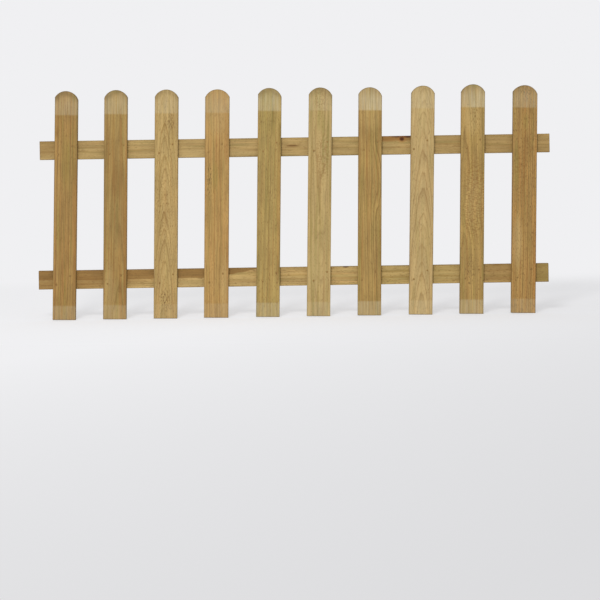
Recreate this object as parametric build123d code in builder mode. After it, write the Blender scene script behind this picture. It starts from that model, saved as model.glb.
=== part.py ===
from build123d import *

import os
from math import cos, radians, sin, tan
from typing import NamedTuple

# A nailed picket fence panel: arch-topped pales on two rails, 1.8 m long and 0.8 m high.
# Millimetres. +X runs along the rails, +Z up, +Y from the pales to the rails' backs.
# The origin is on the back of the lower rail's left end, where it is screwed to a post.

# Pales, evenly spaced
PALE_PITCH = 180.0
PALE_WIDTH = 83.0
PALE_THICKNESS = 15.0
PALE_FOOT = 140.5  # from the lower rail's centre line down to a pale's foot
PALE_HEAD = 207.5  # from the upper rail's centre line up to a pale's crown
ARCH_RISE = 27.0  # from a pale's shoulders up to its crown

# Rails
RAIL_WIDTH = 66.0
RAIL_THICKNESS = 20.0
RAIL_SPACING = 459.0  # from one centre line to the other
RAIL_SPARE = 3.0  # at each end, past half a gap beyond the last pale
RAIL_FIXING = 24.0  # from a rail's end to the screw that holds it to a post

# How far out of square the panel stands, in degrees, its pales' tops to the right
RACK = 1.3

# Planed edges
ARRIS = 1.5

# Nails, two at each crossing, on a slant that keeps them out of one line of grain
NAIL_SPREAD = 24.0  # from a crossing's centre to a nail, across the pale
NAIL_RISE = 15.0  # and along it: up for the right nail, down for the left one
NAIL_SHANK_RADIUS = 1.4
NAIL_HEAD_RADIUS = 3.0
NAIL_HEAD_THICKNESS = 1.0
NAIL_HEAD_PROUD = 0.4  # how far a head stands out of the pale's face
NAIL_TIP = 4.0  # length of the drawn point
NAIL_COVER = 5.0  # wood left behind the point


class Pale(NamedTuple):
    """How one pale, cut and nailed on by hand, differs from the even pattern, in millimetres."""

    slip: float = 0  # to the right of its place
    lean: float = 0  # degrees beyond the rack
    wider: float = 0
    longer: float = 0
    arch_tilt: float = 0  # how much higher its left shoulder is than its right one
    upper_nails: float = 0  # to the right of their places
    lower_nails: float = 0


PALES = [
    Pale(slip=1, lean=0.2, wider=-2, longer=1, arch_tilt=9, upper_nails=-2, lower_nails=-4),
    Pale(slip=-1, lean=-0.1, wider=-1, longer=2, arch_tilt=-3, upper_nails=3, lower_nails=-2),
    Pale(slip=-2, lean=-0.1, wider=0, longer=1, arch_tilt=2, upper_nails=-2, lower_nails=3),
    Pale(slip=-3, lean=-0.1, wider=3, longer=-1, arch_tilt=-3, upper_nails=-6, lower_nails=-1),
    Pale(slip=0, lean=0.1, wider=0, longer=1, arch_tilt=8, upper_nails=2, lower_nails=5),
    Pale(slip=-1, lean=0.1, wider=0, longer=0, arch_tilt=3, upper_nails=2, lower_nails=5),
    Pale(slip=-2, lean=-0.2, wider=0, longer=-2, arch_tilt=7, upper_nails=2, lower_nails=-3),
    Pale(slip=0, lean=0.2, wider=0, longer=1, arch_tilt=1, upper_nails=-7, lower_nails=-2),
    Pale(slip=-1, lean=0, wider=1, longer=3, arch_tilt=0, upper_nails=2, lower_nails=1),
    Pale(slip=2, lean=0.1, wider=3, longer=-3, arch_tilt=8, upper_nails=6, lower_nails=2),
]

# Worked out from the sizes above
RAIL_LENGTH = len(PALES) * PALE_PITCH + 2 * RAIL_SPARE
MIDDLE = RAIL_LENGTH / 2 - RAIL_FIXING
UPPER_SHIFT = RAIL_SPACING * tan(radians(RACK))  # how far the rack carries the upper rail
PALE_FACE = -RAIL_THICKNESS - PALE_THICKNESS
NAIL_TOP = PALE_FACE - NAIL_HEAD_PROUD
NAIL_END = -NAIL_COVER


def centre_line(number, height):
    """The X of pale number's centre line at a height above the lower rail's centre line."""
    pale = PALES[number]
    place = MIDDLE + (number - (len(PALES) - 1) / 2) * PALE_PITCH + pale.slip
    return place + height * tan(radians(RACK + pale.lean))


def make_rail(middle, height):
    """A rail with eased long edges, its back on the plane y = 0."""
    section = Plane(origin=(middle, -RAIL_THICKNESS / 2, height), x_dir=(0, 1, 0), z_dir=(1, 0, 0))
    with BuildPart() as rail:
        with BuildSketch(section):
            RectangleRounded(RAIL_THICKNESS, RAIL_WIDTH, ARRIS)
        extrude(amount=RAIL_LENGTH / 2, both=True)
    return rail


def make_pale(number):
    """A leaning pale with a square foot, an arched head and eased long edges."""
    pale = PALES[number]
    lean = radians(RACK + pale.lean)
    half = (PALE_WIDTH + pale.wider) / 2
    crown = RAIL_SPACING / cos(radians(RACK)) + PALE_HEAD + pale.longer
    shoulder = crown - ARCH_RISE
    back = Plane(
        origin=(centre_line(number, 0), -RAIL_THICKNESS, 0),
        x_dir=(cos(lean), 0, -sin(lean)),
        z_dir=(0, -1, 0),
    )
    with BuildPart() as board:
        with BuildSketch(back):
            with BuildLine():
                sides = Polyline(
                    (-half, shoulder + pale.arch_tilt / 2),
                    (-half, -PALE_FOOT),
                    (half, -PALE_FOOT),
                    (half, shoulder - pale.arch_tilt / 2),
                )
                ThreePointArc(sides @ 1, (0, crown), sides @ 0)
            make_face()
        extrude(amount=PALE_THICKNESS)
        fillet(board.edges().filter_by(Axis((0, 0, 0), back.y_dir)), ARRIS)
    return board


def make_nails(middle, height):
    """The two nails of one crossing, each a flat head, a round shank and a drawn point."""
    with BuildPart() as nails:
        for side in (-1, 1):
            spot = Vector(middle + side * NAIL_SPREAD, 0, height + side * NAIL_RISE)
            with BuildSketch(Plane(origin=spot, x_dir=(1, 0, 0), z_dir=(0, 0, 1))):
                with BuildLine():
                    Polyline(
                        (0, NAIL_TOP),
                        (NAIL_HEAD_RADIUS, NAIL_TOP),
                        (NAIL_HEAD_RADIUS, NAIL_TOP + NAIL_HEAD_THICKNESS),
                        (NAIL_SHANK_RADIUS, NAIL_TOP + NAIL_HEAD_THICKNESS),
                        (NAIL_SHANK_RADIUS, NAIL_END - NAIL_TIP),
                        (0, NAIL_END),
                        close=True,
                    )
                make_face()
            revolve(axis=Axis(spot, (0, 1, 0)))
    return nails


def save(piece, label):
    """Name a finished piece and write its file."""
    piece.part.label = label
    export_step(piece.part, f"parts/{label}.step")


os.makedirs("parts", exist_ok=True)
save(make_rail(MIDDLE, 0), "rail_lower")
save(make_rail(MIDDLE + UPPER_SHIFT, RAIL_SPACING), "rail_upper")
for number, pale in enumerate(PALES):
    name = f"pale_{number + 1:02d}"
    save(make_pale(number), name)
    lower = centre_line(number, 0) + pale.lower_nails
    upper = centre_line(number, RAIL_SPACING) + pale.upper_nails
    save(make_nails(lower, 0), f"{name}_lower_nails")
    save(make_nails(upper, RAIL_SPACING), f"{name}_upper_nails")
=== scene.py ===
"""The looks of a nailed picket fence panel: treated pine boards, wire nails, a pale floor and soft light.

Lengths inside a board are in millimetres on its own axes: across its face, through its thickness from
the back (0) to the front (negative), and along it from its foot or left end. Everything placed in the
scene is in metres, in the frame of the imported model.
"""

import logging
import math
from collections.abc import Sequence
from dataclasses import dataclass, field
from enum import Enum
from typing import ClassVar

import bmesh
import bpy
import numpy as np
from mathutils import Matrix, Vector, noise

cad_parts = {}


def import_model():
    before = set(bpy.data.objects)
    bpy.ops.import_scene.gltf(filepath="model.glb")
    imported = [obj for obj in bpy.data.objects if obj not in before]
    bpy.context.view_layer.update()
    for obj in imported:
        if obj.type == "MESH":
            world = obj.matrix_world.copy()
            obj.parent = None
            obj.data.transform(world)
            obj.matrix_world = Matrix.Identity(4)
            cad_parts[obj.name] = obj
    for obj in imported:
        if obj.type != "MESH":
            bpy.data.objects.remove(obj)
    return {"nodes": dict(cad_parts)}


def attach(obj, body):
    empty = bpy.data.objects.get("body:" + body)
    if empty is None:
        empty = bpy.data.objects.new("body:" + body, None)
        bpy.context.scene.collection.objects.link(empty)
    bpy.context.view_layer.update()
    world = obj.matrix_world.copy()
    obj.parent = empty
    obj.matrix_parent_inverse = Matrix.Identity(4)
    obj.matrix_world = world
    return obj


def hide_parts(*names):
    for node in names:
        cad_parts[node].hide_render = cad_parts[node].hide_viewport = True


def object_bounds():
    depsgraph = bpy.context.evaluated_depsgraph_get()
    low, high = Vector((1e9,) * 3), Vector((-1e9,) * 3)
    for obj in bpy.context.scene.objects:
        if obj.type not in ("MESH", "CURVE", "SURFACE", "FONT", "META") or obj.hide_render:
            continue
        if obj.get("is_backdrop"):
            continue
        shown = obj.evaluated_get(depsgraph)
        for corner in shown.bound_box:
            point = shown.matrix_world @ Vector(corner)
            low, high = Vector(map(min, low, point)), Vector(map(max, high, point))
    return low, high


LOG = logging.getLogger("picket_fence_panel")
MM = 0.001
WELD = 0.001  # millimetres
IMAGE_SIDE = 600  # pixels
BODY = "root"
SMOOTH = {"interpolation_type": "SMOOTHSTEP"}
SHARP_FROM = math.radians(38)  # the least turn between two faces that shows as a corner
Socket = bpy.types.NodeSocket
Inputs = dict[int | str, object] | tuple


def linear(code: str) -> tuple[float, float, float, float]:
    """Turn an sRGB hex colour into the linear colour that a shader takes.

    Args:
        code: The colour as six hex digits after a hash.

    Returns:
        Linear red, green and blue, and an alpha of 1.
    """
    shares = [int(code[i : i + 2], 16) / 255 for i in (1, 3, 5)]
    straight = [s / 12.92 if s <= 0.04045 else ((s + 0.055) / 1.055) ** 2.4 for s in shares]
    return (*straight, 1.0)


def add_node(
    tree: bpy.types.NodeTree,
    kind: str,
    inputs: Inputs = (),
    out: int | str = 0,
    ramp: tuple[tuple[float, float], ...] | None = None,
    **settings: object,
) -> Socket:
    """Add one node, with its settings, its values and its links.

    Args:
        tree: The node tree that gets it.
        kind: The node's type, without the leading ShaderNode.
        inputs: Values or the sockets that feed them, in a row from the first input on, or each
            under its input's name or number.
        out: Which output to return.
        ramp: For a colour ramp, its stops as pairs of a place and a grey.
        **settings: The node's own properties.

    Returns:
        The output socket.
    """
    node = tree.nodes.new(f"ShaderNode{kind}")
    for name, value in settings.items():
        setattr(node, name, value)
    for key, value in inputs.items() if isinstance(inputs, dict) else enumerate(inputs):
        if isinstance(value, Socket):
            tree.links.new(value, node.inputs[key])
        else:
            node.inputs[key].default_value = value
    if ramp:
        stops = node.color_ramp.elements
        for place, _ in ramp[1:-1]:
            stops.new(place)
        for stop, (place, grey) in zip(stops, ramp):
            stop.position = place
            stop.color = (grey, grey, grey, 1)
    return node.outputs[out] if len(node.outputs) else node.inputs[0]


def new_material(name: str) -> bpy.types.Material:
    """Add a material with an empty node tree.

    Args:
        name: What it is, and how its surface was made.

    Returns:
        The material.
    """
    made = bpy.data.materials.new(name)
    made.use_nodes = True
    made.node_tree.nodes.clear()
    return made


class Tone(Enum):
    """The colour of one board's early wood and late wood."""

    HONEY = ("#BC9F66", "#94743F")
    CREAM = ("#BBA16D", "#947547")
    STRAW = ("#B49B66", "#8D7246")
    OLIVE = ("#AC9357", "#82693A")
    AMBER = ("#B28F55", "#8C6637")
    TAN = ("#AA8C52", "#7F6233")
    RUSSET = ("#A5834B", "#795930")


class Stain(Enum):
    """What discolours treated pine, and its colour."""

    OLIVE = "#83783A"  # copper salts, where sapwood took them up
    RUST = "#9C6830"  # resin-rich wood
    HEART = "#85612F"  # heartwood, which takes up little
    SAP = "#CDB37B"  # the youngest wood, which is palest
    BLEACH = "#D0C8A8"  # where the ends dried pale
    KNOT = "#4A260A"
    DUCT = "#6A4B26"  # resin ducts, as short dark ticks
    NAIL = "#5E4426"  # tannin blackened by a nail
    GRIME_AND_SHADE = "#4A3A22"  # mould flecks and dirt along an edge, and painted shade along a pale's foot
    END = "#77623C"  # end grain, which soaks up most


@dataclass(frozen=True)
class Figure:
    """An uneven figure in the wood, of bumps as wide through the board as across it."""

    across: float  # a bump's size, in millimetres
    along: float
    layers: float  # of finer bumps
    shift: float  # what sets it apart from the board's other figures


@dataclass(frozen=True)
class Swirl:
    """Grain that bends round a knot or a bulge, in millimetres on the board's face."""

    across: float
    along: float
    wide: float
    long: float
    push: float  # how far the growth rings are pushed out at its middle
    knot: float = 0.0  # how dark a knot shows at its middle, from 0 to 1


class Spread(Enum):
    """How a stain lies in its patch."""

    WHOLE = "all over"
    TICKED = "in short dark ticks that run with the grain"
    CURLED = "in ripples across the grain, as in curly wood"


@dataclass(frozen=True)
class Patch:
    """A discoloured patch, in millimetres on the board's face."""

    across: float
    along: float
    wide: float
    long: float
    depth: float
    stain: Stain = Stain.RUST
    spread: Spread = Spread.WHOLE


@dataclass(frozen=True)
class Heart:
    """A board's heartwood: all that lies above a wavering line, until that line leaves the board."""

    across: float
    leaves_at: float  # along the board
    gone_at: float
    depth: float = 0.85


@dataclass(frozen=True)
class TreatedPine:
    """Pressure-treated pine, planed: matt, with a faint silk, olive sapwood and brown heartwood."""

    tone: Tone
    seed: float  # what sets this board's figures and wear apart
    light: float = 1.0  # how light this board is beside its tone
    ring: float = 3.0  # a year's growth
    pith: tuple[float, float] = (0.0, 60.0)  # the tree's middle: across, and behind the back face
    climb: float = 0.0  # how far the pith falls back over each millimetre along
    drift: float = 0.0  # and sideways
    contrast: float = 0.9
    banding: float = 1.0  # how unlike good and bad years are
    olive: float = 0.4
    rust: float = 0.2
    ticks: float = 0.35
    head: float = 0.0  # bleaching of the band below the crown
    head_band: float = 83.0  # that band's length
    foot: float = 0.0  # bleaching above the foot
    damp: float = 0.0  # how dark water has left an arched head
    swirls: tuple[Swirl, ...] = ()
    patches: tuple[Patch, ...] = ()
    heart: Heart | None = None
    roughness: float = 0.72

    def material(self, board: "Board") -> bpy.types.Material:
        """Draw this wood for one board.

        Args:
            board: The board, measured and nailed.

        Returns:
            The material.
        """
        # Planer knives leave open grain, so the eye gets a matt face with a faint silk along it
        made = new_material(f"planed_treated_pine_{board.node}")
        Grain(self, board, made.node_tree).draw()
        return made


class Grain:
    """The drawing of one board's wood, from the whole tree inwards.

    Growth rings are drawn round the tree's pith, so a board's faces, edges and ends agree. What the
    eye gets is fine warm lines along the board, with olive and rusty streaks, and no gloss.
    """

    BEND = Figure(80, 380, 1.0, 0.0)  # the tree's own crookedness
    WAVE = Figure(10, 75, 2.0, 4.4)  # waviness of one ring beside the next
    OLIVE_STREAK = Figure(9, 240, 2.0, 3.1)
    RUST_STREAK = Figure(5, 320, 2.0, 7.7)
    FINE_STREAK = Figure(2.4, 110, 3.0, 1.7)
    BLEACH_STREAK = Figure(2.4, 110, 2.0, 21.0)
    BLOTCH = Figure(30, 90, 3.0, 5.3)
    TICK = Figure(2.2, 10, 1.0, 11.0)  # resin ducts, drawn three times as wide as real so that they show
    CURL = Figure(9, 5, 1.0, 6.1)
    HEART_WAVE = Figure(400, 55, 2.0, 9.9)
    DAMP_BLOTCH = Figure(14, 20, 2.0, 15.0)
    FIBRE = Figure(0.7, 30, 2.0, 2.9)  # bundles of fibres that catch the light
    LATE_WOOD = ((0.0, 0.3), (0.07, 0.0), (0.55, 0.06), (0.78, 0.5), (0.92, 1.0), (1.0, 0.55))
    SEED_STEP = 17.3  # sets one board's figures apart from the next one's
    BENT_BY = 7.0
    WAVED_BY = 0.7  # of a ring
    YEAR_RUNS = 0.37  # good years come in runs of about three
    RUNS_SHIFT = 1.6  # rings, by which such runs crowd and spread them
    LATE_LEAST = 0.35  # how dark late wood is in the palest year
    LATE_VARIES = 0.75  # and how much darker in the darkest

    # A figure's values where what it draws sets in, and where it is full
    STREAKED = (0.45, 0.7)
    DUCTS = (0.57, 0.72)
    PATCH_TICKS = (0.5, 0.64)
    PATCH_CURLS = (0.46, 0.6)
    BLOTCHED = (0.35, 0.65)
    ALL_OVER = (0.3, 0.7)

    # How light the wood is, from the sum of its years, its blotches and its fine streaks
    YEARS_LIGHT = {"Scale": 0.55, "Detail": 2.0, "Roughness": 0.6}
    STREAKS_WEIGH = 1.3
    DARKEST_TO_LIGHTEST = (1.27, 2.03)
    SWING = 0.16  # how much lighter and darker than its mean the wood gets

    HEART_WAVED_BY = 11.0
    HEART_EDGE = 1.5  # half the width of the heartwood's edge
    HEART_ENDS = 1.4  # where its line ends, in half widths from the board's middle
    PATCH_CORE = 0.35  # how much of a patch's reach is stained in full
    # A knot's stains, where each is full and where it ends, as shares of its swirl, and its depth
    KNOT_RINGS = ((Stain.RUST, 0.25, 0.8, 0.55), (Stain.KNOT, 0.14, 0.42, 1.0))

    FOOT_BAND = 50.0
    BAND_EDGE = 3.8  # half the width of a band's fading edge
    BLEACH_VARIES = (0.45, 1.5)  # of its mean, from streak to streak
    HEAD_FADES = 40.0  # how far up the head's band the bleaching starts to fade
    CROWN_BLEACH = 0.4  # what is left of it at the crown

    NAIL_STAIN = 3.5  # how far it reaches past a nail's head
    NAIL_STAIN_CORE = 0.5  # how much of that is stained in full
    NAIL_STAIN_DEPTH = 0.5
    NAIL_STAIN_STEPS = (0.37, 0.618)  # how it varies, from board to board and from nail to nail
    NAIL_STAIN_SAGS = 1.0  # below the nail
    NAIL_STAIN_SLIMMER = 2.0  # across the grain than along it

    RIM = 4.5  # how far dirt, and painted shade along a pale's foot, reaches in from an edge
    EDGE_DIRT = 0.3
    # At a pale's foot this darkening is painted shade, where it meets the floor; at the other ends and
    # round an arch it is dirt
    END_DIRT_AND_FOOT_SHADE = 0.4
    ARCH_BARE = 0.5  # the outermost part of an arch's rim, dirty in full
    ARCH_FROM = 6.0  # how far below its lower shoulder an arch's dirt begins
    DAMP = 30.0  # how far an arched head's end grain drew water down
    DAMP_FULL = 4.0
    DAMP_SPAN = (-22.0, 14.0)  # from the lower shoulder, where the damp begins and is full
    DAMP_VARIES = (0.6, 1.4)
    END_TURN = (0.15, 0.9)  # how far a face is turned to the board's end, where it darkens
    END_DEPTH = 0.6

    RAISED = 0.12  # how far late wood stands above early wood
    FIBRES_RAISED = 0.6  # beside late wood
    RELIEF = 0.6
    SHEEN = (0.08, 0.1)  # how much smoother and rougher than its mean the fibres make it
    GLOSS = {"IOR": 1.5, "Specular IOR Level": 0.25}

    def __init__(self, wood: TreatedPine, board: "Board", tree: bpy.types.NodeTree) -> None:
        """Find each point's place on the board, in millimetres on its own axes.

        Args:
            wood: What the board is made of.
            board: The board.
            tree: The node tree of its material.
        """
        self.wood, self.board, self.tree = wood, board, tree
        inputs = {
            "Vector": add_node(tree, "TexCoord", out="Object"),
            "Location": board.place.to_translation(),
            "Rotation": board.place.to_euler(),
            "Scale": (MM, MM, MM),
        }
        self.place = add_node(tree, "Mapping", inputs, vector_type="TEXTURE")
        self.x = add_node(tree, "SeparateXYZ", (self.place,), 0)
        self.z = add_node(tree, "SeparateXYZ", (self.place,), 2)

    def draw(self) -> None:
        """Draw the rings, then what discolours them, then the surface."""
        rings, knots = self._rings()
        late = self._late_wood(rings)
        colour = self._wood(rings, late)
        colour = self._patches(colour)
        colour = self._bands(colour)
        colour = self._knots(colour, knots)
        colour = self._nail_stains(colour)
        colour = self._rims(colour)
        if self.board.circle:
            colour = self._damp_head(colour)
        self._surface(late, self._end_grain(colour))

    def _figure(self, figure: Figure, out: int = 0) -> Socket:
        """Draw an uneven figure in the wood.

        Args:
            figure: The figure.
            out: 0 for one value, or 1 for three.

        Returns:
            A value of about 0.3 to 0.7 at each point.
        """
        inputs = (
            self.place,
            (1 / figure.across, 1 / figure.across, 1 / figure.along),
            [self.wood.seed * self.SEED_STEP + figure.shift] * 3,
        )
        scaled = add_node(self.tree, "VectorMath", inputs, operation="MULTIPLY_ADD")
        inputs = {"Vector": scaled, "Scale": 1.0, "Detail": figure.layers}
        return add_node(self.tree, "TexNoise", inputs, out)

    def _lay(self, colour: Socket, stain: Stain, *masks: Socket) -> Socket:
        """Lay a stain over the wood where every mask holds.

        Args:
            colour: The colour so far.
            stain: The stain.
            *masks: Shares from 0 to 1. Their product is how strongly the stain shows.

        Returns:
            The new colour.
        """
        depth = masks[0]
        for mask in masks[1:]:
            depth = add_node(self.tree, "Math", (depth, mask), operation="MULTIPLY")
        inputs = {0: depth, 6: colour, 7: linear(stain.value)}
        return add_node(self.tree, "Mix", inputs, 2, data_type="RGBA")

    def _away(self, spot: Socket, across: float, along: float, wide: float, long: float) -> Socket:
        """Measure the distance from a spot on the face.

        Args:
            spot: The point's place on the board.
            across: The spot's place across the board.
            along: And along it.
            wide: Half the width of an ellipse round the spot.
            long: Half its length.

        Returns:
            The distance, which is 1 on the ellipse.
        """
        inputs = (spot, (1 / wide, 0, 1 / long), (-across / wide, 0, -along / long))
        scaled = add_node(self.tree, "VectorMath", inputs, operation="MULTIPLY_ADD")
        return add_node(self.tree, "VectorMath", (scaled,), "Value", operation="LENGTH")

    def _rings(self) -> tuple[Socket, list[tuple[Socket, float]]]:
        """Count the rings from the pith, round every swirl.

        Returns:
            The count, and each knot's distance and darkness.
        """
        wood, tree, by = self.wood, self.tree, self.BENT_BY
        inputs = (self._figure(self.BEND, 1), (by, by, 0), (-by / 2, -by / 2, 0))
        bend = add_node(tree, "VectorMath", inputs, operation="MULTIPLY_ADD")
        bent = add_node(tree, "VectorMath", (self.place, bend), operation="ADD")
        inputs = (self.z, (-wood.drift, -wood.climb, -1), bent)
        level = add_node(tree, "VectorMath", inputs, operation="MULTIPLY_ADD")
        radial = add_node(tree, "VectorMath", (level, (*wood.pith, 0)), operation="SUBTRACT")
        radius = add_node(tree, "VectorMath", (radial,), "Value", operation="LENGTH")
        inputs = (self._figure(self.WAVE), self.WAVED_BY * wood.ring, radius)
        radius = add_node(tree, "Math", inputs, operation="MULTIPLY_ADD")
        knots = []
        for swirl in wood.swirls:
            away = self._away(bent, swirl.across, swirl.along, swirl.wide, swirl.long)
            push = add_node(tree, "MapRange", (away, 0, 1, swirl.push, 0), **SMOOTH)
            radius = add_node(tree, "Math", (radius, push), operation="ADD")
            if swirl.knot:
                knots.append((away, swirl.knot))
        return add_node(tree, "Math", (radius, wood.ring), operation="DIVIDE"), knots

    def _late_wood(self, rings: Socket) -> Socket:
        """Draw each ring's dark late wood, unlike from ring to ring.

        Args:
            rings: The count of rings.

        Returns:
            How far each point is late wood, from 0 to 1.
        """
        tree = self.tree
        inputs = {"W": rings, "Scale": self.YEAR_RUNS, "Detail": 1.0}
        uneven = add_node(tree, "TexNoise", inputs, noise_dimensions="1D")
        inputs = (uneven, self.RUNS_SHIFT, rings)
        count = add_node(tree, "Math", inputs, operation="MULTIPLY_ADD")
        share = add_node(tree, "Math", (count,), operation="FRACT")
        late = add_node(tree, "ValToRGB", (share,), ramp=self.LATE_WOOD)
        year = add_node(tree, "Math", (count,), operation="FLOOR")
        kind = add_node(tree, "TexWhiteNoise", {"W": year}, noise_dimensions="1D")
        inputs = (kind, self.LATE_VARIES, self.LATE_LEAST)
        weight = add_node(tree, "Math", inputs, operation="MULTIPLY_ADD")
        return add_node(tree, "Math", (late, weight), operation="MULTIPLY")

    def _wood(self, rings: Socket, late: Socket) -> Socket:
        """Colour early and late wood, with this board's streaks and heartwood.

        Args:
            rings: The count of rings.
            late: How far each point is late wood.

        Returns:
            The colour.
        """
        wood, tree = self.wood, self.tree
        early, dark = (linear(code) for code in wood.tone.value)
        depth = add_node(tree, "Math", (late, wood.contrast), operation="MULTIPLY")
        colour = add_node(tree, "Mix", {0: depth, 6: early, 7: dark}, 2, data_type="RGBA")
        for stain, figure, most in (
            (Stain.OLIVE, self.OLIVE_STREAK, wood.olive),
            (Stain.RUST, self.RUST_STREAK, wood.rust),
        ):
            inputs = (self._figure(figure), *self.STREAKED, 0, most)
            colour = self._lay(colour, stain, add_node(tree, "MapRange", inputs, **SMOOTH))
        if wood.heart:
            colour = self._lay(colour, Stain.HEART, self._heart())
        inputs = {"W": rings, **self.YEARS_LIGHT}
        years = add_node(tree, "TexNoise", inputs, noise_dimensions="1D")
        light = add_node(tree, "Math", (years, self._figure(self.BLOTCH)), operation="ADD")
        inputs = (self._figure(self.FINE_STREAK), self.STREAKS_WEIGH, light)
        light = add_node(tree, "Math", inputs, operation="MULTIPLY_ADD")
        swing = self.SWING * wood.banding
        low, high = (wood.light * (1 + side * swing) for side in (-1, 1))
        inputs = (light, *self.DARKEST_TO_LIGHTEST, low, high)
        shade = add_node(tree, "MapRange", inputs, **SMOOTH)
        shaded = {0: 1.0, 6: colour, 7: shade}
        return add_node(tree, "Mix", shaded, 2, data_type="RGBA", blend_type="MULTIPLY")

    def _heart(self) -> Socket:
        """Find the heartwood.

        Returns:
            How far each point is heartwood.
        """
        heart, tree, by = self.wood.heart, self.tree, self.HEART_WAVED_BY
        inputs = (self._figure(self.HEART_WAVE), by, -by / 2)
        wave = add_node(tree, "Math", inputs, operation="MULTIPLY_ADD")
        line = add_node(tree, "Math", (self.x, wave), operation="SUBTRACT")
        past_edge = -self.HEART_ENDS * self.board.width / 2
        inputs = (self.z, heart.leaves_at, heart.gone_at, heart.across, past_edge)
        rise = add_node(tree, "MapRange", inputs, **SMOOTH)
        over = add_node(tree, "Math", (line, rise), operation="SUBTRACT")
        inputs = (over, -self.HEART_EDGE, self.HEART_EDGE, heart.depth, 0)
        return add_node(tree, "MapRange", inputs, **SMOOTH)

    def _patches(self, colour: Socket) -> Socket:
        """Discolour this board's patches, and tick it with resin ducts.

        Args:
            colour: The colour so far.

        Returns:
            The new colour.
        """
        tree, tick, curl = self.tree, self._figure(self.TICK), self._figure(self.CURL)
        textures = {
            Spread.TICKED: add_node(tree, "MapRange", (tick, *self.PATCH_TICKS, 0, 1), **SMOOTH),
            Spread.CURLED: add_node(tree, "MapRange", (curl, *self.PATCH_CURLS, 0, 1), **SMOOTH),
        }
        for patch in self.wood.patches:
            away = self._away(self.place, patch.across, patch.along, patch.wide, patch.long)
            inputs = (away, self.PATCH_CORE, 1.0, patch.depth, 0)
            masks = [add_node(tree, "MapRange", inputs, **SMOOTH)]
            if patch.spread in textures:
                masks.append(textures[patch.spread])
            colour = self._lay(colour, patch.stain, *masks)
        inputs = (tick, *self.DUCTS, 0, self.wood.ticks)
        return self._lay(colour, Stain.DUCT, add_node(tree, "MapRange", inputs, **SMOOTH))

    def _bands(self, colour: Socket) -> Socket:
        """Bleach the bands at a pale's head and foot, in streaks, the head's less towards its crown.

        Args:
            colour: The colour so far.

        Returns:
            The new colour.
        """
        wood, tree, edge, top = self.wood, self.tree, self.BAND_EDGE, self.board.length
        inputs = (self._figure(self.BLEACH_STREAK), *self.ALL_OVER, *self.BLEACH_VARIES)
        streak = add_node(tree, "MapRange", inputs, **SMOOTH)
        if wood.head:
            start = top - wood.head_band
            inputs = (self.z, start - edge, start + edge, 0, wood.head)
            band = add_node(tree, "MapRange", inputs, **SMOOTH)
            inputs = (self.z, start + self.HEAD_FADES, top, 1, self.CROWN_BLEACH)
            fading = add_node(tree, "MapRange", inputs)
            colour = self._lay(colour, Stain.BLEACH, band, streak, fading)
        if wood.foot:
            start = self.FOOT_BAND
            inputs = (self.z, start - edge, start + edge, wood.foot, 0)
            band = add_node(tree, "MapRange", inputs, **SMOOTH)
            colour = self._lay(colour, Stain.BLEACH, band, streak)
        return colour

    def _knots(self, colour: Socket, knots: list[tuple[Socket, float]]) -> Socket:
        """Draw each knot as a dark core in rusty wood.

        Args:
            colour: The colour so far.
            knots: Each knot's distance and darkness.

        Returns:
            The new colour.
        """
        for away, dark in knots:
            for stain, full, gone, depth in self.KNOT_RINGS:
                inputs = (away, full, gone, depth * dark, 0)
                colour = self._lay(colour, stain, add_node(self.tree, "MapRange", inputs, **SMOOTH))
        return colour

    def _nail_stains(self, colour: Socket) -> Socket:
        """Darken the wood round each nail, more at some than at others.

        Args:
            colour: The colour so far.

        Returns:
            The new colour.
        """
        by_board, by_nail = self.NAIL_STAIN_STEPS
        for count, (across, along, radius) in enumerate(self.board.nails):
            draw = (0.5 + self.wood.seed * by_board + count * by_nail) % 1
            depth = self.NAIL_STAIN_DEPTH * draw**2
            reach = radius + self.NAIL_STAIN
            low, wide = along - self.NAIL_STAIN_SAGS, reach - self.NAIL_STAIN_SLIMMER
            away = self._away(self.place, across, low, wide, reach)
            inputs = (away, self.NAIL_STAIN_CORE, 1.0, depth, 0)
            mask = add_node(self.tree, "MapRange", inputs, **SMOOTH)
            colour = self._lay(colour, Stain.NAIL, mask)
        return colour

    def _rims(self, colour: Socket) -> Socket:
        """Darken the edges with dirt and preservative, and a pale's foot with painted shade where it meets
        the floor.

        Args:
            colour: The colour so far.

        Returns:
            The new colour.
        """
        tree, board, reach = self.tree, self.board, self.RIM
        side = add_node(tree, "Math", (self.x,), operation="ABSOLUTE")
        half, top = board.width / 2, board.length
        # The rim at the first end is painted shade along a pale's foot, and dirt at a rail's left end
        rims = [(side, half - reach, half, 0, self.EDGE_DIRT), (self.z, 0, reach, self.END_DIRT_AND_FOOT_SHADE, 0)]
        if not board.circle:
            rims.append((self.z, top - reach, top, 0, self.END_DIRT_AND_FOOT_SHADE))
        for rim in rims:
            mask = add_node(tree, "MapRange", rim, **SMOOTH)
            colour = self._lay(colour, Stain.GRIME_AND_SHADE, mask)
        return colour

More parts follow.
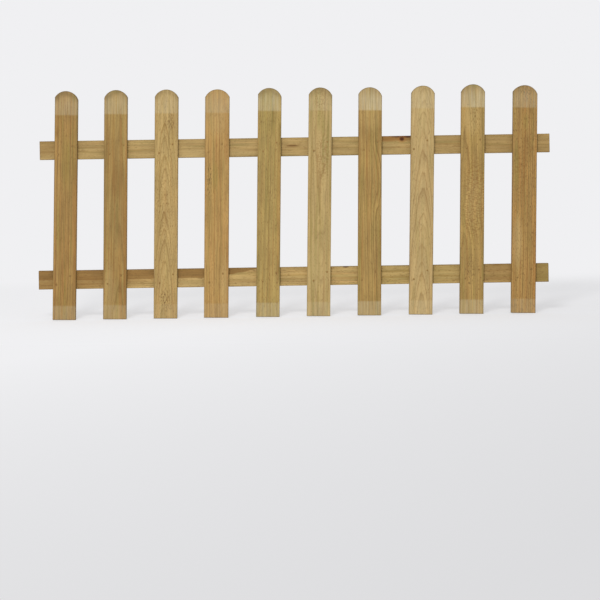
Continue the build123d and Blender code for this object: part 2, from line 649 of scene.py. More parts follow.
    def _damp_head(self, colour: Socket) -> Socket:
        """Darken an arched head's rim, and in blotches the wood whose end grain drew up water.

        Args:
            colour: The colour so far.

        Returns:
            The new colour.
        """
        tree = self.tree
        middle, height, radius = self.board.circle
        low = min(self.board.shoulders)
        from_middle = self._away(self.place, middle, height, 1, 1)
        inputs = (from_middle, radius - self.RIM, radius - self.ARCH_BARE, 0, self.END_DIRT_AND_FOOT_SHADE)
        rim = add_node(tree, "MapRange", inputs, **SMOOTH)
        above = add_node(tree, "MapRange", (self.z, low - self.ARCH_FROM, low, 0, 1), **SMOOTH)
        colour = self._lay(colour, Stain.GRIME_AND_SHADE, rim, above)
        inputs = (from_middle, radius - self.DAMP, radius - self.DAMP_FULL, 0, 1)
        near = add_node(tree, "MapRange", inputs, **SMOOTH)
        begins, full = (low + step for step in self.DAMP_SPAN)
        above = add_node(tree, "MapRange", (self.z, begins, full, 0, 1), **SMOOTH)
        dry, wet = (share * self.wood.damp for share in self.DAMP_VARIES)
        inputs = (self._figure(self.DAMP_BLOTCH), *self.BLOTCHED, dry, wet)
        blotch = add_node(tree, "MapRange", inputs, **SMOOTH)
        return self._lay(colour, Stain.END, near, above, blotch)

    def _end_grain(self, colour: Socket) -> Socket:
        """Darken what is cut across the grain.

        Args:
            colour: The colour so far.

        Returns:
            The new colour.
        """
        tree, axis = self.tree, self.board.place.col[2].to_3d()
        normal = add_node(tree, "NewGeometry", out="True Normal")
        facing = add_node(tree, "VectorMath", (normal, axis), "Value", operation="DOT_PRODUCT")
        facing = add_node(tree, "Math", (facing,), operation="ABSOLUTE")
        inputs = (facing, *self.END_TURN, 0, self.END_DEPTH)
        return self._lay(colour, Stain.END, add_node(tree, "MapRange", inputs, **SMOOTH))

    def _surface(self, late: Socket, colour: Socket) -> None:
        """Join the shader, with raised late wood and fibres in its bump and sheen.

        Args:
            late: How far each point is late wood.
            colour: The finished colour.
        """
        tree, rough = self.tree, self.wood.roughness
        fibre = self._figure(self.FIBRE)
        inputs = (fibre, self.FIBRES_RAISED, late)
        relief = add_node(tree, "Math", inputs, operation="MULTIPLY_ADD")
        smoother, rougher = self.SHEEN
        sheen = (fibre, *self.ALL_OVER, rough - smoother, rough + rougher)
        bump = {"Strength": self.RELIEF, "Distance": self.RAISED * MM, "Height": relief}
        inputs = {
            "Base Color": colour,
            "Roughness": add_node(tree, "MapRange", sheen, **SMOOTH),
            "Normal": add_node(tree, "Bump", bump),
            **self.GLOSS,
        }
        shader = add_node(tree, "BsdfPrincipled", inputs)
        add_node(tree, "OutputMaterial", {"Surface": shader})


@dataclass(frozen=True)
class DullSteel:
    """Galvanised steel wire, drawn, cut and headed: dull, browned, with a chequered struck face."""

    colour: str = "#836539"
    worn: str = "#A3844F"
    metallic: float = 0.85  # the rest is smut
    roughness: float = 0.55
    smut_scale: float = 0.6  # its blots are about 1.7 mm wide
    smut_range: tuple[float, float] = (0.4, 0.7)
    chequer: float = 0.8  # between the grooves that the header leaves
    groove: float = 0.1  # how deep they are
    relief: float = 0.5

    def material(self, name: str) -> bpy.types.Material:
        """Draw this steel.

        Args:
            name: The material's name.

        Returns:
            The material.
        """
        # Copper salts in wet pine etch the zinc, so the eye gets a brown dot with a dull, broken glint
        made = new_material(name)
        tree = made.node_tree
        object_place = add_node(tree, "TexCoord", out="Object")
        place = add_node(tree, "VectorMath", {0: object_place, 3: 1 / MM}, operation="SCALE")
        inputs = {"Vector": place, "Scale": self.smut_scale, "Detail": 3.0}
        smut = add_node(tree, "MapRange", (add_node(tree, "TexNoise", inputs), *self.smut_range))
        colours = {0: smut, 6: linear(self.colour), 7: linear(self.worn)}
        colour = add_node(tree, "Mix", colours, 2, data_type="RGBA")
        turns = math.tau / self.chequer
        waves = add_node(tree, "VectorMath", {0: place, 3: turns}, operation="SCALE")
        waves = add_node(tree, "VectorMath", (waves,), operation="SINE")
        parts = [add_node(tree, "SeparateXYZ", (waves,), k) for k in (0, 2)]
        grooves = add_node(tree, "Math", tuple(parts), operation="MULTIPLY")
        bump = {"Strength": self.relief, "Distance": self.groove * MM, "Height": grooves}
        inputs = {
            "Base Color": colour,
            "Metallic": self.metallic,
            "Roughness": self.roughness,
            "Normal": add_node(tree, "Bump", bump),
        }
        shader = add_node(tree, "BsdfPrincipled", inputs)
        add_node(tree, "OutputMaterial", {"Surface": shader})
        return made


def node_points(node: bpy.types.Object) -> np.ndarray:
    """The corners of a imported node's mesh, in millimetres in the frame.

    Args:
        node: The node's object.

    Returns:
        One row of X, Y and Z for each corner.
    """
    points = np.empty(len(node.data.vertices) * 3)
    node.data.vertices.foreach_get("co", points)
    return points.reshape(-1, 3) / MM


def new_piece(
    name: str, points: np.ndarray, faces: Sequence[Sequence[int]], place: Matrix
) -> bpy.types.Object:
    """Make a smooth piece with sharp corners from points in millimetres, and weld those that meet.

    Args:
        name: The piece's name.
        points: Its points, on axes of their own.
        faces: Its faces, as rows of point numbers.
        place: Where those axes lie in the frame, in metres.

    Returns:
        The piece, in the scene.
    """
    mesh = bpy.data.meshes.new(name)
    mesh.from_pydata((points * MM).tolist(), [], [list(map(int, face)) for face in faces])
    work = bmesh.new()
    work.from_mesh(mesh)
    bmesh.ops.remove_doubles(work, verts=work.verts[:], dist=WELD * MM)
    work.to_mesh(mesh)
    work.free()
    mesh.transform(place)
    mesh.shade_smooth()
    mesh.set_sharp_from_angle(angle=SHARP_FROM)
    piece = bpy.data.objects.new(name, mesh)
    bpy.context.scene.collection.objects.link(piece)
    return piece


@dataclass
class Board:
    """A sawn and planed board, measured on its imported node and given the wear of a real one."""

    SEED_STEP: ClassVar[float] = 31.7  # sets one board's wear apart from the next one's
    SAW_SEED_STEP: ClassVar[float] = 12.1
    CORNER_FROM: ClassVar[float] = 0.05  # how much the skin turns where an arris begins
    FACING: ClassVar[float] = 0.99  # how straight to the front the nailed face looks
    LEAN_STEPS: ClassVar[int] = 60

    node: str
    slot: str
    wood: TreatedPine
    arris: float = 1.5
    end_easing: float = 0.4
    cell_across: float = 3.4
    cell_along: float = 5.0
    head_zone: float = 30.0  # below a shoulder, where the rows begin to follow the arch
    worn: float = 0.1  # how far every arris is worn
    rub: float = 0.35  # and the most where it rubbed against other boards
    rub_length: float = 34.0
    chip: float = 1.1  # how deep a bruise of an arris gets, as its noise rises above chip_from
    chip_from: float = 0.25
    chip_length: float = 7.0
    saw_marks: float = 0.3
    saw_teeth: tuple[float, float] = (2.2, 9.0)  # the marks' size across the end and through it
    hollow: float = 0.12  # unevenness of the planed face
    hollow_size: tuple[float, float] = (25.0, 140.0)  # across and along
    dent: float = 0.4  # how far a nail's head crushes the face round it
    dent_reach: float = 4.0  # past the head
    dent_cuts: int = 3  # of a cell near a nail
    most_lean: float = 4.0  # degrees from upright or level
    width: float = field(init=False)
    thickness: float = field(init=False)
    length: float = field(init=False)
    shoulders: tuple[float, float] = field(init=False)
    circle: tuple[float, float, float] | None = field(init=False)
    place: Matrix = field(init=False)
    nails: list[tuple[float, float, float]] = field(init=False, default_factory=list)

    def measure(self, node: bpy.types.Object) -> None:
        """Find the board's axes and sizes on its node.

        Args:
            node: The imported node.
        """
        points = node_points(node)
        flat = points[:, [0, 2]]
        lies = np.ptp(flat[:, 0]) > np.ptp(flat[:, 1])
        ends = (-self.most_lean, self.most_lean)
        low, high = (math.radians(90 + end if lies else end) for end in ends)
        for _ in range(self.LEAN_STEPS):
            a, b = low + (high - low) / 3, high - (high - low) / 3
            if self._spread(flat, a) < self._spread(flat, b):  # least at the board's own lean
                high = b
            else:
                low = a
        lean = (low + high) / 2
        across, along = np.array(self._axes(lean))
        u, w = flat @ across, flat @ along
        self.width, self.length = float(np.ptp(u)), float(np.ptp(w))
        self.thickness = float(np.ptp(points[:, 1]))
        edge = self.arris / 10
        self.shoulders = tuple(
            float(w[side].max() - w.min()) for side in (u < u.min() + edge, u > u.max() - edge)
        )
        middle = (u.min() + u.max()) / 2
        self.circle = self._fit_circle(np.column_stack([u - middle, w - w.min()]))
        centre = across * middle + along * w.min()
        back = points[:, 1].max()
        self.place = Matrix(
            (
                (across[0], 0, along[0], centre[0] * MM),
                (0, 1, 0, back * MM),
                (across[1], 0, along[1], centre[1] * MM),
                (0, 0, 0, 1),
            )
        )

    @staticmethod
    def _axes(lean: float) -> tuple[tuple[float, float], tuple[float, float]]:
        """The axes across and along a board that leans from upright, in X and Z."""
        return (math.cos(lean), -math.sin(lean)), (math.sin(lean), math.cos(lean))

    def _spread(self, flat: np.ndarray, lean: float) -> float:
        """How wide the board seems if it leans that far."""
        return float(np.ptp(flat @ np.array(self._axes(lean)[0])))

    def add_nail(self, head: Vector, radius: float) -> None:
        """Note a nail that goes in through the face.

        Args:
            head: The middle of its head, in metres in the frame.
            radius: The head's radius.
        """
        spot = self.place.inverted() @ head / MM
        self.nails.append((spot.x, spot.z, radius))

    def _lines(self, low: float, high: float, cell: float, easing: float) -> np.ndarray:
        """Space grid lines from low to high, closer at both ends, where the corners are eased.

        Args:
            low: Where they start.
            high: Where they end.
            cell: How far apart they should be.
            easing: How wide an eased corner is.

        Returns:
            The lines' places.
        """
        turn = easing * (1 - math.tan(math.pi / 8))
        count = max(2, round((high - low - 2 * easing) / cell) + 1)
        inner = np.linspace(low + easing, high - easing, count)
        return np.concatenate([[low, low + turn], inner, [high - turn, high]])

    def _box(self) -> tuple[np.ndarray, np.ndarray]:
        """Cut the board, as a plain box, into a grid.

        Returns:
            Its points, and its four-sided faces as rows of point numbers.
        """
        half = self.width / 2
        lines = (
            self._lines(-half, half, self.cell_across, self.arris),
            self._lines(-self.thickness, 0, self.cell_across, self.arris),
            self._lines(0, self.length, self.cell_along, self.end_easing),
        )
        shape = tuple(len(line) for line in lines)
        skin = np.zeros(shape, bool)
        for axis in range(3):
            np.moveaxis(skin, axis, 0)[[0, -1]] = True
        number = np.full(shape, -1)
        number[skin] = np.arange(skin.sum())
        points = np.stack(np.meshgrid(*lines, indexing="ij"), -1)[skin]
        faces = []
        for axis in range(3):
            for end in (0, -1):
                sheet = np.take(number, end, axis=axis)
                quads = np.stack(
                    [sheet[:-1, :-1], sheet[1:, :-1], sheet[1:, 1:], sheet[:-1, 1:]], -1
                ).reshape(-1, 4)
                inward = (end == 0) != (axis == 1)
                faces.append(quads[:, ::-1] if inward else quads)
        return points, np.concatenate(faces)

    def _refine(self, points: np.ndarray, faces: np.ndarray) -> tuple[np.ndarray, list[list[int]]]:
        """Cut the grid finer round the nails.

        Args:
            points: The box's points.
            faces: Its faces.

        Returns:
            The new points and faces.
        """
        grid = bpy.data.meshes.new("grid")
        grid.from_pydata(points.tolist(), [], faces.tolist())
        work = bmesh.new()
        work.from_mesh(grid)
        edges = set()
        for face in work.faces:
            middle = face.calc_center_median()
            if middle.y > -self.thickness + self.arris / 2:
                continue
            for across, along, radius in self.nails:
                if math.hypot(middle.x - across, middle.z - along) < radius + self.dent_reach:
                    edges.update(face.edges)
        order = sorted(edges, key=lambda edge: edge.index)
        bmesh.ops.subdivide_edges(work, edges=order, cuts=self.dent_cuts, use_grid_fill=True)
        work.verts.index_update()
        finer = np.array([vert.co[:] for vert in work.verts])
        cut = [[vert.index for vert in face.verts] for face in work.faces]
        work.free()
        bpy.data.meshes.remove(grid)
        return finer, cut

    def _fit_circle(self, face: np.ndarray) -> tuple[float, float, float] | None:
        """Find the circle that the head was cut to.

        Args:
            face: The node's points across and along the board.

        Returns:
            Its centre across and along, and its radius, or nothing where the end is square.
        """
        top = max(self.shoulders)
        if self.length - top < self.arris:
            return None
        arch = face[face[:, 1] > top + self.arris]
        sides = np.column_stack([2 * arch, np.ones(len(arch))])
        middle, height, rest = np.linalg.lstsq(sides, (arch**2).sum(1), rcond=None)[0]
        return float(middle), float(height), math.sqrt(rest + middle**2 + height**2)

    def _arch(self, across: np.ndarray) -> np.ndarray:
        """Find how high the head's cut lies.

        Args:
            across: Places across the board.

        Returns:
            The cut's height above the foot at each.
        """
        if not self.circle:
            return np.full_like(across, self.length)
        half = self.width / 2
        middle, height, radius = self.circle
        return height + np.sqrt(radius**2 - (np.clip(across, -half, half) - middle) ** 2)

    def _shape(self, box: np.ndarray) -> np.ndarray:
        """Turn points of the plain box into points of the worn board.

        Args:
            box: Points on the box.

        Returns:
            The same points on the board.
        """
        half, deep = self.width / 2 - self.arris, self.thickness - 2 * self.arris
        middle = -self.thickness / 2
        inner = box.copy()
        inner[:, 0] = np.clip(box[:, 0], -half, half)
        inner[:, 1] = middle + np.clip(box[:, 1] - middle, -deep / 2, deep / 2)
        out = (box - inner)[:, :2]
        far = np.hypot(*out.T)
        edge = far > 1e-6
        out[edge] /= far[edge, None]
        points = inner
        points[:, :2] += out * np.where(edge, self.arris, 0)[:, None]
        to_end = np.minimum(box[:, 2], self.length - box[:, 2])
        ease = 1 - np.clip(to_end / self.end_easing, 0, 1)
        points[:, 0] *= 1 - ease * self.end_easing / (self.width / 2)
        points[:, 1] = middle + (points[:, 1] - middle) * (1 - ease * 2 * self.end_easing / self.thickness)
        points[:, :2] -= out * self._wear(points, out)[:, None]
        start = min(self.shoulders) - self.head_zone
        share = np.clip((box[:, 2] - start) / (self.length - start), 0, None)
        points[:, 2] += share * (self._arch(points[:, 0]) - self.length)
        points[:, 2] += self._saw(points, box[:, 2])
        return points

    def _wear(self, points: np.ndarray, out: np.ndarray) -> np.ndarray:
        """Wear the skin by planing, bruises and nails.

        Args:
            points: The skin's points.
            out: The way out of the board at each, across and through it.

        Returns:
            How far each point lies below the true board.
        """
        depth = np.zeros(len(points))
        seed = self.wood.seed * self.SEED_STEP
        wide, long = self.hollow_size
        corner = 2 * np.abs(out[:, 0] * out[:, 1])
        for k, (u, v, w) in enumerate(points):
            spot = Vector((u / wide, v / wide + seed, w / long))
            depth[k] = self.hollow * (0.5 + 0.5 * noise.noise(spot))
            if corner[k] > self.CORNER_FROM:
                # Each of the four arrises has a line of its own through the noise
                arris = math.copysign(40, u) + math.copysign(20, v + self.thickness / 2)
                rub = noise.noise(Vector((arris, seed, w / self.rub_length)))
                chip = noise.noise(Vector((arris + 7, seed, w / self.chip_length)))
                rubbed = self.worn + self.rub * max(0, rub)
                depth[k] += corner[k] * (rubbed + self.chip * max(0, chip - self.chip_from))
        front = out[:, 1] < -self.FACING
        for across, along, radius in self.nails:
            away = np.hypot(points[:, 0] - across, points[:, 2] - along) - radius
            crush = np.clip(1 - away / self.dent_reach, 0, 1)
            depth += front * self.dent * crush**2
        return depth

    def _saw(self, points: np.ndarray, box_along: np.ndarray) -> np.ndarray:
        """Mark both ends with the saw.

        Args:
            points: The skin's points.
            box_along: How far along the plain box each one was.

        Returns:
            How far each point moves along the board.
        """
        shift = np.zeros(len(points))
        seed = self.wood.seed * self.SAW_SEED_STEP
        across, through = self.saw_teeth
        for end, way in ((0.0, 1), (self.length, -1)):
            for k in np.nonzero(np.abs(box_along - end) < self.end_easing / 2)[0]:
                u, v = points[k, 0], points[k, 1]
                rough = 0.5 + 0.5 * noise.noise(Vector((u / across, v / through, seed + end)))
                shift[k] = way * self.saw_marks * rough
        return shift

    def build(self, name: str) -> bpy.types.Object:
        """Make the board's piece and let it stand for its node.

        Args:
            name: The piece's name.

        Returns:
            The piece.
        """
        points, faces = self._box()
        if self.nails:
            points, faces = self._refine(points, faces)
        piece = new_piece(name, self._shape(points), list(faces), self.place)
        piece.data.materials.append(self.wood.material(self))
        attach(piece, BODY)
        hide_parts(self.node)
        return piece


@dataclass
class NailPair:
    """The two wire nails of one crossing."""

    node: str
    sides: int = 28
    dome: float = 0.12  # how far the head's middle stands above its rim
    dome_rings: tuple[float, ...] = (0.3, 0.6, 0.85)  # of the head's radius
    bevel: float = 0.25
    bevel_rounded: float = 0.3  # of the bevel
    shank_share: float = 0.47  # of the head's radius
    head_thickness: float = 1.0
    point: float = 4.0
    heads: list[Vector] = field(init=False, default_factory=list)
    radius: float = field(init=False)
    length: float = field(init=False)

    def measure(self, node: bpy.types.Object) -> None:
        """Find both nails on their node.

        Args:
            node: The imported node.
        """
        points = node_points(node)
        split = (points[:, 0].min() + points[:, 0].max()) / 2
        self.length = float(np.ptp(points[:, 1]))
        for nail in (points[points[:, 0] < split], points[points[:, 0] > split]):
            low, high = nail.min(0), nail.max(0)
            self.radius = float(high[0] - low[0]) / 2
            self.heads.append(Vector(((low[0] + high[0]) / 2, low[1], (low[2] + high[2]) / 2)) * MM)

    def _profile(self) -> list[tuple[float, float]]:
        """Draw the outline of half a nail.

        Returns:
            Its corners' distances from the axis and below the top.
        """
        head, shank = self.radius, self.radius * self.shank_share
        crown = [(head * share, self.dome * share**2) for share in self.dome_rings]
        rim, rounded = head - self.bevel, self.bevel * self.bevel_rounded
        return [
            *crown,
            (rim, self.dome),
            (head - rounded, self.dome + rounded),
            (head, self.dome + self.bevel),
            (head, self.head_thickness),
            (shank, self.head_thickness + self.bevel),
            (shank, self.length - self.point),
        ]

    def build(self, steel: bpy.types.Material) -> bpy.types.Object:
        """Turn both nails and let them stand for their node.

        Args:
            steel: Their material.

        Returns:
            The piece.
        """
        rings, points, faces = self._profile(), [], []
        turns = [math.tau * k / self.sides for k in range(self.sides)]
        for head in self.heads:
            x, y, z = head / MM
            first = len(points)
            points.append((x, y, z))
            for radius, down in rings:
                points += [(x + radius * math.cos(a), y + down, z + radius * math.sin(a)) for a in turns]
            points.append((x, y + self.length, z))
            last = len(points) - 1
            for k in range(self.sides):
                after = (k + 1) % self.sides
                faces.append((first, first + 1 + k, first + 1 + after))
                for ring in range(len(rings) - 1):
                    a = first + 1 + ring * self.sides
                    b = a + self.sides
                    faces.append((a + k, b + k, b + after, a + after))
                top = last - self.sides
                faces.append((top + k, last, top + after))
        piece = new_piece(f"{self.node}_wire", np.array(points), faces, Matrix.Identity(4))
        piece.data.materials.append(steel)
        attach(piece, BODY)
        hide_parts(self.node)
        return piece


# The boards as the panel's front shows them, from left to right
PALE_WOOD = [
    TreatedPine(
        Tone.RUSSET,
        1,
        light=0.92,
        ring=5.2,
        pith=(-70, 40),
        drift=0.01,
        olive=0.5,
        rust=0.35,
        head=0.18,
        head_band=85,
        foot=0.13,
        damp=0.6,
        patches=(
            Patch(-30, 664, 8, 26, 0.5, Stain.HEART),
            Patch(28, 788, 12, 24, 0.45, Stain.OLIVE),
            Patch(0, 560, 22, 130, 0.3, Stain.OLIVE),
            Patch(36, 330, 7, 330, 0.35),
        ),
    ),
    TreatedPine(
        Tone.TAN,
        2,
        light=0.855,
        ring=3.2,
        pith=(12, 62),
        contrast=0.65,
        climb=0.012,
        olive=0.3,
        rust=0.4,
        head=0.2,
        head_band=85,
        foot=0.12,
        damp=0.45,
        patches=(
            Patch(2, 480, 20, 90, 0.35, Stain.HEART),
            Patch(-14, 560, 30, 140, 0.2, Stain.HEART),
            Patch(-20, 90, 26, 150, 0.18, Stain.SAP),
            Patch(3, 180, 16, 80, 0.3, Stain.HEART),
            Patch(37, 300, 7, 420, 0.4),
            Patch(0, 805, 25, 12, 0.5, Stain.OLIVE),
        ),
    ),
    TreatedPine(
        Tone.HONEY,
        3,
        light=0.895,
        ring=2.3,
        pith=(-4, 46),
        climb=0.035,
        contrast=0.85,
        banding=0.8,
        olive=0.25,
        rust=0.2,
        ticks=0.6,
        head=0.16,
        head_band=84,
        foot=0.06,
        damp=0.4,
        patches=(
            Patch(15, 694, 18, 42, 0.9, Stain.DUCT, Spread.TICKED),
            Patch(0, 62, 26, 60, 0.9, Stain.DUCT, Spread.TICKED),
            Patch(-10, 400, 40, 160, 0.5, Stain.HEART, Spread.TICKED),
        ),
    ),
    TreatedPine(
        Tone.AMBER,
        4,
        light=0.96,
        ring=5.4,
        pith=(45, 60),
        contrast=0.65,
        drift=-0.01,
        olive=0.25,
        rust=0.4,
        head=0.14,
        foot=0.1,
        damp=0.05,
        patches=(
            Patch(-27, 480, 12, 80, 0.8, Stain.GRIME_AND_SHADE, Spread.TICKED),
            Patch(-5, 500, 14, 70, 0.35, Stain.OLIVE),
            Patch(28, 120, 20, 130, 0.25, Stain.SAP),
            Patch(0, 700, 46, 80, 0.18, Stain.SAP),
        ),
    ),
    TreatedPine(
        Tone.OLIVE,
        5,
        light=0.93,
        ring=5.0,
        pith=(34, 70),
        contrast=0.55,
        drift=0.02,
        olive=0.45,
        rust=0.3,
        ticks=0.5,
        head=0.25,
        head_band=81,
        foot=0.2,
        damp=0.4,
        patches=(
            Patch(34, 420, 9, 420, 0.3),
            Patch(0, 695, 46, 60, 0.16, Stain.OLIVE),
            Patch(0, 772, 46, 50, 0.22, Stain.OLIVE),
        ),
    ),
    TreatedPine(
        Tone.STRAW,
        6,
        light=1.0,
        ring=3.4,
        pith=(2, 72),
        climb=-0.006,
        contrast=0.75,
        banding=0.65,
        olive=0.5,
        rust=0.15,
        ticks=0.45,
        head=0.12,
        head_band=81.5,
        foot=0.12,
        damp=0.5,
        swirls=(
            Swirl(4, 215, 26, 120, 8),
            Swirl(16, 590, 22, 60, 7),
        ),
        patches=(
            Patch(0, 770, 30, 45, 0.6, Stain.OLIVE, Spread.TICKED),
            Patch(2, 760, 34, 60, 0.45, Stain.HEART, Spread.CURLED),
            Patch(2, 690, 22, 60, 0.3, Stain.OLIVE),
            Patch(10, 560, 36, 120, 0.35, Stain.HEART, Spread.CURLED),
            Patch(-12, 190, 36, 120, 0.25, Stain.SAP),
        ),
    ),
    TreatedPine(
        Tone.TAN,
        7,
        light=0.935,
        ring=4.8,
        pith=(60, 50),
        drift=-0.02,
        olive=0.4,
        rust=0.4,
        head=0.36,
        head_band=81,
        foot=0.21,
        damp=0.05,
        swirls=(Swirl(30, 470, 34, 170, 8),),
        patches=(
            Patch(0, 700, 46, 70, 0.12, Stain.SAP),
        ),
    ),
    TreatedPine(
        Tone.CREAM,
        8,
        light=0.965,
        ring=2.6,
        pith=(2, 44),
        climb=0.042,
        contrast=0.8,
        banding=0.6,
        olive=0.22,
        rust=0.2,
        head=0.14,
        head_band=80,
        foot=0.12,
        damp=0.1,
        patches=(
            Patch(0, 700, 46, 90, 0.15, Stain.SAP),
        ),
    ),
    TreatedPine(
        Tone.TAN,
        9,
        light=0.98,
        ring=3.4,
        pith=(-30, 60),
        climb=0.01,
        olive=0.4,
        rust=0.25,
        ticks=0.55,
        head=0.3,
        head_band=81,
        foot=0.2,
        damp=0.15,
        swirls=(Swirl(8, 365, 60, 120, 8),),
        patches=(
            Patch(-2, 690, 40, 80, 0.26, Stain.SAP),
            Patch(10, 690, 30, 90, 0.5, Stain.HEART, Spread.TICKED),
            Patch(8, 410, 60, 190, 0.75, Stain.HEART, Spread.CURLED),
            Patch(0, 400, 50, 120, 0.12, Stain.SAP),
            Patch(-6, 150, 22, 80, 0.5, Stain.GRIME_AND_SHADE, Spread.TICKED),
            Patch(5, 808, 26, 14, 0.5, Stain.OLIVE),
        ),
    ),
    TreatedPine(
        Tone.RUSSET,
        10,
        light=0.995,
        ring=5.6,
        pith=(80, 45),
        drift=0.01,
        contrast=1.0,
        olive=0.25,
        rust=0.45,
        ticks=0.75,
        head=0.17,
        head_band=79,
        foot=0.13,
        damp=0.25,
        patches=(
            Patch(39, 180, 8, 320, 0.45),
            Patch(0, 785, 36, 45, 0.7, Stain.GRIME_AND_SHADE, Spread.TICKED),
            Patch(-30, 520, 14, 120, 0.4, Stain.OLIVE),
            Patch(2, 674, 12, 45, 0.35, Stain.OLIVE),
            Patch(-24, 250, 22, 130, 0.3, Stain.SAP),
            Patch(-14, 500, 34, 120, 0.45, Stain.HEART, Spread.CURLED),
            Patch(16, 590, 26, 70, 0.4, Stain.HEART, Spread.CURLED),
        ),
    ),
]
UPPER_RAIL_WOOD = TreatedPine(
    Tone.HONEY,
    11,
    light=0.84,
    ring=4.4,
    pith=(25, 60),
    olive=0.35,
    rust=0.25,
    contrast=0.42,
    banding=0.8,
    swirls=(
        Swirl(-23, 1283, 24, 28, 13, knot=1.0),
        Swirl(-4, 895, 12, 40, 9),
        Swirl(4, 1429, 16, 40, 9),
    ),
    patches=(
        Patch(-25, 1232, 15, 75, 0.7),
        Patch(-25, 1240, 15, 60, 0.6, Stain.HEART),
        Patch(-25, 1306, 15, 46, 0.75, Stain.HEART),
        Patch(-31, 1294, 8, 60, 1.0, Stain.KNOT),
        Patch(-4, 895, 4.5, 30, 0.95, Stain.DUCT),
        Patch(-4, 895, 12, 50, 0.3, Stain.HEART),
        Patch(0, 1680, 90, 380, 0.22, Stain.HEART),
        Patch(20, 560, 26, 300, 0.2, Stain.SAP),
        Patch(-16, 10, 50, 90, 0.4, Stain.HEART),
    ),
)
LOWER_RAIL_WOOD = TreatedPine(
    Tone.HONEY,
    12,
    light=0.95,
    ring=4.2,
    pith=(-25, 65),
    olive=0.3,
    rust=0.25,
    ticks=0.5,
    contrast=0.65,
    patches=(
        Patch(10, 60, 30, 420, 0.5, Stain.HEART),
        Patch(24, 80, 24, 220, 0.35, Stain.HEART),
        Patch(20, 545, 22, 120, 0.2, Stain.SAP),
        Patch(-31, 1088, 4, 16, 0.8, Stain.KNOT),
        Patch(-30, 1621, 4, 30, 0.6, Stain.HEART),
        Patch(0, 1330, 70, 260, 0.22, Stain.OLIVE),
        Patch(-6, 1720, 80, 270, 0.5, Stain.HEART),
        Patch(0, 1795, 80, 60, 0.35, Stain.OLIVE),
    ),
    heart=Heart(1.5, 563, 903, depth=0.8),
)


@dataclass
class FencePanel:
    """The whole panel: two rails, ten pales and the nails at their crossings."""

    nodes: dict[str, bpy.types.Object]
    steel: DullSteel = DullSteel()

    def build(self) -> None:
        """Make every piece, the nails first, because the pales are dented round them."""
        pairs: dict[str, list[NailPair]] = {}
        steel = self.steel.material("galvanised_drawn_wire_etched")
        for number in range(1, len(PALE_WOOD) + 1):
            pale = f"pale_{number:02d}"
            pairs[pale] = [NailPair(f"{pale}_{level}_nails") for level in ("lower", "upper")]
            for pair in pairs[pale]:
                pair.measure(self.nodes[pair.node])
                pair.build(steel)
                LOG.info("%s: %d nails", pair.node, len(pair.heads))
        for node, wood in (("rail_lower", LOWER_RAIL_WOOD), ("rail_upper", UPPER_RAIL_WOOD)):
            self._board(Board(node, "rail_wood", wood), [])
        for (node, nails), wood in zip(pairs.items(), PALE_WOOD):
            self._board(Board(node, "pale_wood", wood), nails)

    def _board(self, board: Board, pairs: list[NailPair]) -> None:
        """Measure, nail, build and report one board.

        Args:
            board: The board.
            pairs: The nails that go in through its face.
        """
        board.measure(self.nodes[board.node])
        for pair in pairs:
            for head in pair.heads:
                board.add_nail(head, pair.radius)
        piece = board.build(f"{board.node}_board")
        LOG.info(
            "%s: %.1f by %.1f by %.1f mm, %d faces",
            board.node,
            board.width,
            board.thickness,
            board.length,
            len(piece.data.polygons),
        )


